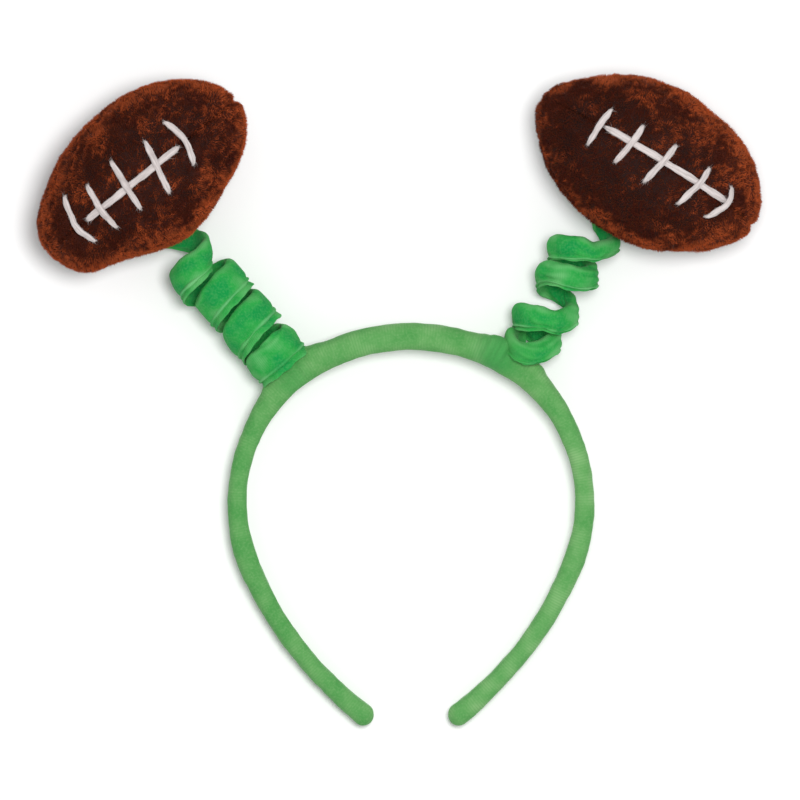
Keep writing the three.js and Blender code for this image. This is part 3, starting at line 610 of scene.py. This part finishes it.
LEFT_SPRING = {
    "side": "left",
    "seed": 11,
    "joined": 0.0,
    "axis": ((-47.1, 15.8, 13.8), (-60.1, 31.8, 14.9), (-74.0, 47.1, 16.9), (-86.9, 63.2, 16.9)),
    "thickness": 4.6,
    # turn (whole turns are in front), height of the ribbon's middle, outer radius, loop's lean in degrees,
    # ribbon's height, flange
    "rows": (
        (-0.45, 0.5, 10.5, 0, 9.0, 1.2),
        (-0.25, 3.0, 11.4, 0, 10.5, 2.2),
        (0.0, 4.0, 11.8, 0, 11.3, 2.8),
        (0.25, 4.6, 11.9, 0, 11.3, 2.8),
        (0.5, 9.0, 11.9, 0, 11.3, 2.8),
        (0.75, 16.2, 11.5, 0, 11.3, 2.8),
        (1.0, 20.8, 11.8, 0, 11.6, 2.9),
        (1.25, 21.8, 12.0, 0, 11.6, 2.9),
        (1.5, 26.5, 11.8, 0, 11.6, 2.8),
        (1.75, 32.8, 11.3, 0, 11.6, 2.8),
        (2.0, 36.3, 11.7, 0, 11.3, 2.9),
        (2.25, 37.6, 11.9, 0, 11.4, 2.8),
        (2.5, 41.0, 11.8, -4, 11.4, 2.6),
        (2.75, 45.6, 12.9, -12, 11.4, 2.6),
        (3.0, 49.6, 11.9, -24, 10.8, 2.4),
        (3.12, 53.4, 11.0, -32, 10.6, 2.0),
        (3.25, 58.0, 10.4, -38, 10.4, 1.6),
        (3.4, 61.4, 10.2, -34, 9.6, 1.2),
        (3.54, 64.5, 9.8, -28, 9.0, 1.0),
        (3.68, 69.0, 8.8, -24, 8.0, 0.8),
    ),
}
RIGHT_SPRING = {
    "side": "right",
    "seed": 21,
    "joined": 0.6,
    "axis": ((49.1, 21.2, 14.2), (59.1, 37.2, 15.2), (67.6, 54.1, 17.1), (77.4, 70.3, 17.1)),
    "thickness": 5.2,
    # as the left spring's
    "rows": (
        (-0.45, 3.0, 9.0, 30, 7.8, 0.5),
        (-0.3, 4.0, 9.6, 30, 7.8, 0.5),
        (-0.2, 4.0, 10.2, 30, 7.8, 0.5),
        (-0.1, 0.8, 10.9, 30, 8.2, 0.5),
        (0.0, -2.0, 11.2, 30, 8.4, 0.5),
        (0.1, -1.6, 11.6, 30, 8.4, 0.6),
        (0.25, 3.2, 12.4, 30, 8.4, 0.7),
        (0.5, 7.0, 11.5, 30, 8.4, 1.2),
        (0.75, 14.4, 12.4, 30, 8.8, 1.8),
        (1.0, 14.0, 11.4, 30, 8.6, 1.4),
        (1.12, 12.2, 12.0, 30, 8.6, 1.0),
        (1.25, 15.5, 12.7, 30, 8.6, 0.7),
        (1.5, 24.8, 11.4, 30, 8.6, 1.2),
        (1.75, 33.0, 12.4, 30, 8.6, 1.8),
        (1.87, 34.6, 12.0, 30, 8.0, 1.6),
        (2.0, 32.8, 11.6, 30, 8.8, 1.3),
        (2.1, 31.4, 11.8, 30, 8.8, 1.0),
        (2.25, 32.2, 12.4, 30, 8.6, 0.7),
        (2.5, 38.5, 11.6, 30, 8.6, 1.0),
        (2.75, 45.0, 13.6, 30, 9.0, 0.8),
        (3.0, 44.6, 12.5, 30, 8.6, 0.7),
        (3.1, 43.4, 12.6, 30, 7.0, 0.6),
        (3.25, 46.6, 13.8, 30, 6.2, 0.5),
        (3.38, 50.4, 12.0, 30, 8.4, 0.5),
        (3.52, 57.5, 10.4, 30, 8.4, 0.6),
        (3.62, 64.5, 9.2, 30, 7.6, 0.6),
        (3.72, 69.0, 8.0, 30, 7.0, 0.5),
    ),
}
# A cooler and deeper green than the band's, deeper inside the loops as painted shade and paler on their
# edges as painted sheen
coil_velour = velour(
    "ribbed_velour_of_the_springs",
    ("#0b8c40", "#289b42", "#62b169"),
    neighbour="#46994a",
    sheen=0.1,
    rib_pitch=0.8,
    groove_shade=0.25,
)
for spring in (LEFT_SPRING, RIGHT_SPRING):
    coil, coil_length, coil_pale, coil_worn = coil_surface(spring)
    coil_joined = spring["joined"] * smoothstep(JOINED_FROM, JOINED_TO, coil_length)
    coil_piece = mesh_piece(
        f"spring_{spring['side']}",
        coil.reshape(-1, 3),
        tube_faces(coil),
        coil_velour,
        along=coil_length,
        seam=SEAM_PALENESS * coil_pale * np.clip(1 - 2 * coil_joined, 0, 1),
        worn=coil_worn,
        joined=coil_joined,
    )
    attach(coil_piece, "root")
    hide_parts(f"coil_{spring['side']}")

# Footballs. Each is four gores of brown plush, sewn tip to tip and stuffed firm. The backing shows only in
# the seams; the pile stands on it in clumps, dark at the roots and warm at the tips. The backing's near black
# and the dark roots are painted shade deep in the pile.

BALL_DEPTH = 54.0
PILE_ROOM = 0.8
SEAM_DEPTH = 1.2
TIP_SEAM_DEPTH = 0.5
MOST_SEAM_DEPTH = 2.4
SEAM_WIDTH = 1.5
PANEL_BULGE = 0.02
SEAM_GAP = 0.15
# height, wavelength, seed past the football's own
STUFFING_LUMPS = ((0.16, 17.0, 0), (0.1, 6.0, 1))
BACKING_MOTTLE = ((0.15, 5.0, 2),)
BACKING_RIM_SHEEN = 0.9
BACKING_REACH = 0.62
COVER_STEP = 0.002
GORE_RINGS = 64
GORE_SIDES = 26
# side across (1 is far), side in height (1 is the front), angle in degrees at which the quarter starts
GORES = {
    "front_upper": (1, 1, 0),
    "front_lower": (-1, 1, 270),
    "back_upper": (1, -1, 90),
    "back_lower": (-1, -1, 180),
}
LEFT_BALL = {
    "side": "left",
    "seed": 31,
    "centre": (-100.333, 88.026, 26.921),
    "length": 95.4,
    "width": 59.4,
    "tilt": 38.7,
    "roll": 3.0,
    # painted light: direction in degrees towards which the plush is painted warmest, as lit from that side,
    # by how much, and how much warmer it is all over
    "warm": (-60.0, 0.16, 0.0),
    "outline": {
        "at": (-1.0, -0.9, -0.7, -0.5, -0.25, 0.0, 0.25, 0.5, 0.7, 0.9, 1.0),
        "far": (0.85, 0.87, 0.88, 0.93, 0.96, 0.98, 1.0, 1.02, 0.99, 0.92, 0.9),
        "near": (1.08, 1.07, 0.92, 0.88, 0.97, 1.02, 0.98, 0.93, 0.94, 0.95, 0.95),
    },
    "spine": (-0.6, 0.4),
    # along at the far end, across at the far end, along at the near end, across at the near end, bow
    "stitches": (
        (-0.58, 0.51, -0.62, 0.36, -0.06),
        (-0.39, 0.43, -0.42, 0.4, -0.02),
        (-0.12, 0.49, -0.18, 0.4, 0.0),
        (0.2, 0.41, 0.08, 0.48, 0.0),
        (0.4, 0.45, 0.37, 0.38, 0.06),
    ),
}
RIGHT_BALL = {
    "side": "right",
    "seed": 41,
    "centre": (96.747, 92.693, 27.080),
    "length": 97.2,
    "width": 62.8,
    "tilt": -31.1,
    "roll": -6.0,
    "warm": (32.0, 0.95, -0.14),
    "outline": {
        "at": (-1.0, -0.9, -0.7, -0.5, -0.25, 0.0, 0.25, 0.5, 0.7, 0.9, 1.0),
        "far": (0.68, 0.72, 0.85, 0.93, 0.98, 1.0, 0.98, 1.0, 0.99, 0.94, 0.9),
        "near": (0.8, 0.85, 0.94, 0.98, 1.0, 1.0, 0.99, 0.95, 0.88, 0.8, 0.78),
    },
    "spine": (-0.47, 0.72),
    "stitches": (
        (-0.47, 0.32, -0.49, 0.38, 0.0),
        (-0.19, 0.34, -0.24, 0.41, 0.02),
        (0.12, 0.34, 0.04, 0.44, 0.01),
        (0.44, 0.32, 0.36, 0.45, 0.02),
        (0.66, 0.27, 0.6, 0.38, 0.06),
    ),
}


def smooth_football(ball, share, angle, inset):
    """Stuffed cover about its own middle: an oval as wide as the outline says, with puffed panels."""
    half_width = np.where(
        np.sin(angle) > 0,
        curve_through(ball["outline"]["at"], ball["outline"]["far"], share),
        curve_through(ball["outline"]["at"], ball["outline"]["near"], share),
    ) * (ball["width"] / 2)
    round_radius = 1 / np.hypot(np.sin(angle) / half_width, np.cos(angle) / (BALL_DEPTH / 2))
    puff = 1 + PANEL_BULGE * np.sin(2 * angle) ** 2
    radius = np.sqrt(np.clip(1 - share**2, 0, 1)) * (round_radius * puff - inset)
    along = share * (ball["length"] / 2 - inset)
    return np.stack((along, radius * np.sin(angle), radius * np.cos(angle)), -1)


def football_cover(ball, share, angle):
    """Backing of the plush and its normal: the smooth cover, drawn in along the seams and in soft lumps."""

    def at(past_share, past_angle):
        return smooth_football(ball, share + past_share, angle + past_angle, PILE_ROOM)

    point = at(0, 0)
    normal = np.cross(at(0, COVER_STEP) - at(0, -COVER_STEP), at(COVER_STEP, 0) - at(-COVER_STEP, 0))
    length = np.linalg.norm(normal, axis=-1, keepdims=True)
    normal = np.where(length > 1e-9, normal / np.maximum(length, 1e-9), 0)
    normal *= np.sign((normal * point).sum(-1, keepdims=True))
    pull = SEAM_DEPTH * (1 - 0.8 * smoothstep(-0.6, -0.9, share))
    pull += TIP_SEAM_DEPTH * smoothstep(0.6, 0.95, share)
    beside = np.exp(-((point[..., 1:] / SEAM_WIDTH) ** 2)).sum(-1)
    lumps = rippled(point, STUFFING_LUMPS, ball["seed"])
    return point + normal * (lumps - np.minimum(pull * beside, MOST_SEAM_DEPTH))[..., None], normal


def place_football(ball, points):
    """Football's own millimetres to the part's: rolled about its long axis, turned on the table and moved."""
    roll, tilt = np.radians(ball["roll"]), np.radians(ball["tilt"])
    turned = np.array(((np.cos(tilt), -np.sin(tilt), 0), (np.sin(tilt), np.cos(tilt), 0), (0, 0, 1)))
    return points @ (turned @ turned_about_x(roll)).T + np.array(ball["centre"])


def painted_light_side(ball, points):
    """How much warmer the plush is painted at points about the football's own middle: painted light from one
    side, and a shift all over.
    """
    direction, most, all_over = ball["warm"]
    turn = np.radians(direction - ball["tilt"])
    towards = (points[..., 0] * np.cos(turn) + points[..., 1] * np.sin(turn)) / (ball["length"] / 2)
    return all_over + most * towards


def gore_surface(ball, far, front, start):
    """Closed quarter of the cover between two seams: arcs from seam to seam, with a corner on the axis."""
    share = np.sin(np.linspace(-0.497, 0.497, GORE_RINGS) * np.pi)[:, None]
    angle = np.radians(start + np.linspace(0, 90, GORE_SIDES))[None, :]
    share, angle = np.broadcast_arrays(share, angle)
    arcs = football_cover(ball, share, angle)[0]
    arcs[..., 1] = far * np.maximum(far * arcs[..., 1], SEAM_GAP)
    arcs[..., 2] = front * np.maximum(front * arcs[..., 2], SEAM_GAP)
    corner = arcs[:, :1].copy()
    corner[..., 1] = far * SEAM_GAP
    corner[..., 2] = front * SEAM_GAP
    return np.concatenate((arcs, corner), 1)


PLUSH_PATCH = 7.0
MOTTLING = 0.5
ROOT_WARMTH = 0.3


def plush(name, root, tip, warm):
    """Plush: its colour goes from the root, painted dark as painted shade deep in the pile, to the tip by the
    attribute tip, and is warmer by patches and by the attribute tone, which also carries painted sheen
    towards the rim and painted light from one side.
    """
    made = new_material(name)
    tree = made.node_tree
    place = add(tree, "ShaderNodeTexCoord").outputs["Object"]
    patches = add(
        tree, "ShaderNodeTexNoise", {"Vector": place, "Scale": 1 / (PLUSH_PATCH * MM), "Detail": 4.0}
    )
    spots = add(
        tree,
        "ShaderNodeMapRange",
        {"Value": patches.outputs["Fac"], "From Min": 0.4, "From Max": 0.66, "To Max": MOTTLING},
    )
    warmth = add(
        tree,
        "ShaderNodeMath",
        {0: spots.outputs["Result"], 1: attribute(tree, "tone")},
        operation="ADD",
        use_clamp=True,
    ).outputs["Value"]
    root_warmth = add(tree, "ShaderNodeMath", {0: warmth, 1: ROOT_WARMTH}, operation="MULTIPLY")
    roots = mixed(tree, root_warmth.outputs["Value"], linear(root), linear(warm))
    tips = mixed(tree, warmth, linear(tip), linear(warm))
    shader = add(
        tree,
        "ShaderNodeBsdfPrincipled",
        {
            "Base Color": mixed(tree, attribute(tree, "tip"), roots, tips),
            "Roughness": 0.75,
            "Specular IOR Level": 0.15,
            "Sheen Weight": 0.25,
            "Sheen Roughness": 0.35,
            "Sheen Tint": linear("#cf6a36"),
        },
    )
    add(tree, "ShaderNodeOutputMaterial", {"Surface": shader.outputs["BSDF"]})
    return made


# Woven backing, painted nearly black as painted shade: it makes the seams and the gaps in the pile read as
# depth
plush_backing = plush("plush_backing", root="#1c0905", tip="#2a100a", warm="#4a1a0d")
# Deep brown fibres with russet tips and roots painted near black as painted shade: the eye sees a rich soft
# plush, whose warm glow at its rim is partly painted sheen
plush_pile = plush("plush_pile", root="#1a0503", tip="#561909", warm="#d06030")
for ball in (LEFT_BALL, RIGHT_BALL):
    for place, (far, front, start) in GORES.items():
        gore = gore_surface(ball, far, front, start)
        aside = np.hypot(gore[..., 1] / (ball["width"] / 2), gore[..., 0] / (ball["length"] / 2))
        # Tone of the backing: painted sheen, warmer towards the rim of the outline, with random mottling and
        # painted light from one side
        tone = BACKING_RIM_SHEEN * smoothstep(0.55, 1.0, aside)
        tone += rippled(gore, BACKING_MOTTLE, ball["seed"]) + painted_light_side(ball, gore)
        gore_piece = mesh_piece(
            f"football_{ball['side']}_{place}",
            place_football(ball, gore).reshape(-1, 3),
            tube_faces(gore),
            plush_backing,
            tone=tone,
            tip=np.full(tone.shape, BACKING_REACH),
        )
        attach(gore_piece, "root")
        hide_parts(f"ball_{ball['side']}_{place}")

# Laces. Soft white roving yarn, laid on the front of each football and sewn down at its ends, where it dives
# into the pile: a spine along the front seam and five cross stitches over it.

YARN_HEIGHT = 1.7
SPINE_WIDTH = 2.7
STITCH_WIDTH = 2.4
YARN_LIFT = 0.2
YARN_DIVE = 2.0
STITCH_CLIMB = 3.6
YARN_SIDES = 22
HALVINGS = 30
SPINE_STEPS = 120
STITCH_STEPS = 90
PLY_DEPTH = 0.07
PLY_TWIST = 2.6
# share, wavelength over two pi, turns of the seed
YARN_SWELLS = ((0.07, 2.3, 1), (0.05, 0.9, 2))
END_THICKNESS = 0.06
STREAK_LENGTH = 7.0
STREAK_WIDTH = 0.55
SPINE_FIBRES = 420
STITCH_FIBRES = 220
FIBRE_LENGTHS = (0.4, 1.1)
FIBRE_WIDTH = 0.1
WISPS = 60
WISP_LENGTHS = (1.2, 3.2)


def cover_height(ball, along, across):
    """Height of the smooth cover's front above the football's middle, found by halving the angle."""
    share = along / (ball["length"] / 2)
    low, high = np.full(share.shape, -np.pi / 2), np.full(share.shape, np.pi / 2)
    for _ in range(HALVINGS):
        middle = (low + high) / 2
        short = smooth_football(ball, share, middle, 0)[..., 1] < across
        low, high = np.where(short, middle, low), np.where(short, high, middle)
    return smooth_football(ball, share, low, 0)[..., 2]


def off_cover(ball, along, across, lift):
    """Points above the front of the cover, raised square to it, and its normals there."""
    step = 0.5
    height = cover_height(ball, along, across)
    normal = np.stack(
        (
            height - cover_height(ball, along + step, across),
            height - cover_height(ball, along, across + step),
            np.full(height.shape, step),
        ),
        -1,
    )
    normal /= np.linalg.norm(normal, axis=-1, keepdims=True)
    return np.stack((along, across, height), -1) + normal * lift[:, None], normal


def yarn_lift(share, length):
    """Lift of a yarn off the cover: level in the middle and diving into the pile at both ends."""
    from_end = np.minimum(share, 1 - share) * length
    return -YARN_HEIGHT + (YARN_LIFT + YARN_HEIGHT) * smoothstep(0, YARN_DIVE, from_end)


def spine_line(ball):
    """Line of the spine along the front seam, as points and normals."""
    half = ball["length"] / 2
    start, end = ball["spine"][0] * half, ball["spine"][1] * half
    share = np.linspace(0, 1, SPINE_STEPS)
    along = start + (end - start) * share
    return off_cover(ball, along, np.zeros_like(along), yarn_lift(share, end - start))


def stitch_line(ball, row):
    """Line of a cross stitch: from its far end to its near end, bowed, and climbing over the spine."""
    far_along, far, near_along, near, bow = row
    half, depth = ball["length"] / 2, BALL_DEPTH / 2
    share = np.linspace(0, 1, STITCH_STEPS)
    along = (far_along + (near_along - far_along) * share + bow * 4 * share * (1 - share)) * half
    across = (far - (far + near) * share) * depth
    clear = smoothstep(SPINE_WIDTH / 2, SPINE_WIDTH / 2 + STITCH_CLIMB, np.abs(across))
    over = 0.75 * YARN_HEIGHT + YARN_LIFT
    return off_cover(ball, along, across, over + (yarn_lift(share, (far + near) * depth) - over) * clear)


def yarn_surface(line, normals, width, seed):
    """Soft oval yarn along a line: three plies barely twisted, thick and thin by turns, thin at both ends.

    Also gives each point its place in the yarn, by which the fibres' streaks run.
    """
    run = np.gradient(line, axis=0)
    length = np.concatenate(((0,), np.cumsum(np.linalg.norm(np.diff(line, axis=0), axis=1))))
    side = np.cross(run, normals)
    side /= np.linalg.norm(side, axis=1, keepdims=True)
    up = np.cross(side, run)
    up /= np.linalg.norm(up, axis=1, keepdims=True)
    angle = np.linspace(0, 2 * np.pi, YARN_SIDES, endpoint=False)[None, :]
    plies = 1 + PLY_DEPTH * np.cos(3 * angle - length[:, None] / PLY_TWIST)
    swell = 1 + sum(share * np.sin(length / wave + turns * seed) for share, wave, turns in YARN_SWELLS)
    whole = smoothstep(-1.0, 6.0, np.minimum(length, length[-1] - length)) ** 0.9
    size = plies * (swell * (END_THICKNESS + (1 - END_THICKNESS) * whole))[:, None]
    aside = size * np.cos(angle) * width / 2
    above = size * np.sin(angle) * YARN_HEIGHT / 2
    surface = line[:, None] + side[:, None] * aside[..., None] + up[:, None] * above[..., None]
    far = np.broadcast_to(length[:, None] / STREAK_LENGTH + seed, size.shape)
    return surface, np.stack((far, aside / STREAK_WIDTH, above / STREAK_WIDTH), -1)


def spikes(roots, directions, lengths, width):
    """Closed three-sided spikes, one for each root: a small triangle round the root, and a tip."""
    count = len(roots)
    aside = np.cross(directions, np.array((0.31, 0.57, 0.76)))
    aside /= np.linalg.norm(aside, axis=1, keepdims=True)
    above = np.cross(directions, aside)
    turns = np.radians((0, 120, 240))
    rim = aside[:, None] * np.cos(turns)[None, :, None] + above[:, None] * np.sin(turns)[None, :, None]
    tips = roots + directions * lengths[:, None]
    points = np.concatenate((roots[:, None] + rim * width / 2, tips[:, None]), 1).reshape(-1, 3)
    sides = np.array(((0, 2, 1), (0, 1, 3), (1, 2, 3), (2, 0, 3)))
    faces = (np.arange(count)[:, None, None] * 4 + sides[None]).reshape(-1, 3)
    return points, faces


def yarn_fuzz(surface, count, seed):
    """Loose fibres on a yarn: short ones nearly along its cover, and longer wisps that leave its ends."""
    random = np.random.default_rng(seed)
    normals = tube_normals(surface)
    last = surface.shape[0] - 1
    row = random.integers(2, last - 1, count)
    wisp = np.arange(count) < WISPS
    near_end = np.round(np.abs(random.normal(0, 5, count))).astype(int) + 3
    row = np.where(wisp, np.where(np.arange(count) % 2 > 0, near_end, last - near_end), row)
    side = random.integers(0, surface.shape[1], count)
    run = surface[row + 1, side] - surface[row - 1, side]
    run /= np.linalg.norm(run, axis=1, keepdims=True)
    away = np.where(row > last / 2, 1.0, -1.0)[:, None]
    direction = 0.55 * normals[row, side] + run * random.normal(0, 0.8, (count, 1))
    direction += random.normal(0, 0.4, (count, 3))
    leaving = run * away + random.normal(0, 0.32, (count, 3)) + 0.35 * normals[row, side]
    direction = np.where(wisp[:, None], leaving, direction)
    direction /= np.linalg.norm(direction, axis=1, keepdims=True)
    length = np.where(wisp, random.uniform(*WISP_LENGTHS, count), random.uniform(*FIBRE_LENGTHS, count))
    return spikes(surface[row, side], direction, length, FIBRE_WIDTH)


def roving(name):
    """Roving yarn: nearly white wool-like fibre, with faint grey streaks along it and a dull soft surface."""
    made = new_material(name)
    tree = made.node_tree
    place = add(tree, "ShaderNodeAttribute", attribute_name="streak").outputs["Vector"]
    streaks = add(tree, "ShaderNodeTexNoise", {"Vector": place, "Scale": 1.0, "Detail": 2.0})
    streaked = by_ramp(tree, streaks.outputs["Fac"], ((0.34, "#b3aaa8"), (0.6, "#d0c7c5")))
    bump = add(
        tree, "ShaderNodeBump", {"Height": streaks.outputs["Fac"], "Strength": 0.3, "Distance": 0.15 * MM}
    )
    shader = add(
        tree,
        "ShaderNodeBsdfPrincipled",
        {
            "Base Color": streaked,
            "Normal": bump.outputs["Normal"],
            "Roughness": 0.85,
            "Specular IOR Level": 0.2,
            "Sheen Weight": 0.15,
        },
    )
    add(tree, "ShaderNodeOutputMaterial", {"Surface": shader.outputs["BSDF"]})
    return made


# Soft off-white: matt and fibrous, the palest thing on the object
white_roving = roving("white_roving_yarn")
for ball in (LEFT_BALL, RIGHT_BALL):
    ball["yarns"] = {"spine": (spine_line(ball), SPINE_WIDTH)}
    for k, row in enumerate(ball["stitches"]):
        ball["yarns"][f"stitch_{k + 1}"] = (stitch_line(ball, row), STITCH_WIDTH)
    for k, (place, ((line, normals), width)) in enumerate(ball["yarns"].items()):
        yarn, streak = yarn_surface(line, normals, width, ball["seed"] + k)
        fibres = SPINE_FIBRES if place == "spine" else STITCH_FIBRES
        fuzz_points, fuzz_faces = yarn_fuzz(yarn, fibres, ball["seed"] + k)
        yarn_faces = tube_faces(yarn)
        yarn_piece = mesh_piece(
            f"lace_{ball['side']}_{place}_yarn",
            place_football(ball, np.concatenate((yarn.reshape(-1, 3), fuzz_points))),
            [*yarn_faces, fuzz_faces + yarn.shape[0] * yarn.shape[1]],
            white_roving,
            streak=np.concatenate((streak.reshape(-1, 3), np.full(fuzz_points.shape, 0.5))),
        )
        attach(yarn_piece, "root")
        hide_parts(f"lace_{ball['side']}_{place}")

# Pile of the plush. Short brown fibres stand on the backing of each gore, drawn together into clumps, and are
# pressed away under the yarn; some lean over its edges.

PILE_PER_GORE = 18500
TRIES_PER_FIBRE = 3.2
PILE_LENGTH = 1.4
PILE_LENGTH_SHARES = (0.7, 1.15)
PILE_WIDTH = 0.34
CLUMP_SPACING = 4.0
CLUMP_LEAN = 0.16
LOOSE_LEAN = 0.16
LEAST_RISE = 0.55
SWIRL_SPACING = 11.0
PATCH_SPACING = 15.0
PLAIN_TONE = -0.14
PAINTED_RIM_SHEEN = 0.95
CLUMP_TONE = 0.22
PATCH_TONE = 0.27
FIBRE_TONE = 0.2
PRESSED_HEIGHT = 0.02
YARN_EDGE = 0.25


def pile_roots(ball, start, count, seed):
    """Random places on a gore, as many for each square millimetre all over, with the cover's normals."""
    random = np.random.default_rng(seed)
    tries = int(count * TRIES_PER_FIBRE)
    share = random.uniform(-0.998, 0.998, tries)
    angle = np.radians(start + random.uniform(0, 90, tries))
    here, past_share, past_angle = (
        smooth_football(ball, share + by_share, angle + by_angle, PILE_ROOM)
        for by_share, by_angle in ((0, 0), (COVER_STEP, 0), (0, COVER_STEP))
    )
    area = np.linalg.norm(np.cross(past_share - here, past_angle - here), axis=1)
    keep = random.uniform(0, np.quantile(area, 0.995), tries) < area
    point, normal = football_cover(ball, share[keep][:count], angle[keep][:count])
    return point, normal, random


def under_yarn(points, yarns):
    """True where a root in front lies under a yarn, away from the yarn's rounded edge."""
    under = np.zeros(len(points), bool)
    for (line, _), width in yarns.values():
        coarse = line[4:-4:3]
        nearest = np.full(len(points), np.inf)
        for spot in coarse:
            nearest = np.minimum(nearest, np.hypot(points[:, 0] - spot[0], points[:, 1] - spot[1]))
        under |= (nearest < width / 2 - YARN_EDGE) & (points[:, 2] > 0)
    return under


for ball in (LEFT_BALL, RIGHT_BALL):
    for k, (place, (far, front, start)) in enumerate(GORES.items()):
        root, normal, random = pile_roots(ball, start, PILE_PER_GORE, ball["seed"] + 5 + k)
        height, slope = ripples(root, CLUMP_SPACING, ball["seed"] + 3)
        swirl = ripples(root, SWIRL_SPACING, ball["seed"] + 4)[1]
        direction = normal + CLUMP_LEAN * slope + swirl + random.normal(0, LOOSE_LEAN, root.shape)
        direction += normal * np.maximum(0, LEAST_RISE - (direction * normal).sum(1))[:, None]
        direction /= np.linalg.norm(direction, axis=1, keepdims=True)
        length = PILE_LENGTH * random.uniform(*PILE_LENGTH_SHARES, len(root))
        # Painted sheen: fibres where the cover turns away from straight up and down are painted warmer,
        # towards the rim
        rim = smoothstep(0.1, 0.8, 1 - np.abs(normal[:, 2]))
        patch = ripples(root, PATCH_SPACING, ball["seed"] + 9)[0]
        tone = PLAIN_TONE + PAINTED_RIM_SHEEN * rim + CLUMP_TONE * height + PATCH_TONE * patch
        # Painted light: the pile is painted warmer towards one side of each football
        tone += random.normal(0, FIBRE_TONE, len(root)) + painted_light_side(ball, root)
        kept = ~under_yarn(root, ball["yarns"])
        points, faces = spikes(root[kept], direction[kept], length[kept], PILE_WIDTH)
        points = place_football(ball, points)
        # Where the football rests on the table, its pile is pressed flat
        points[:, 2] = np.maximum(points[:, 2], PRESSED_HEIGHT)
        pile_piece = mesh_piece(
            f"pile_{ball['side']}_{place}",
            points,
            [faces],
            plush_pile,
            tone=np.repeat(tone[kept], 4),
            tip=np.tile((0.0, 0.0, 0.0, 1.0), kept.sum()),
        )
        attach(pile_piece, "root")
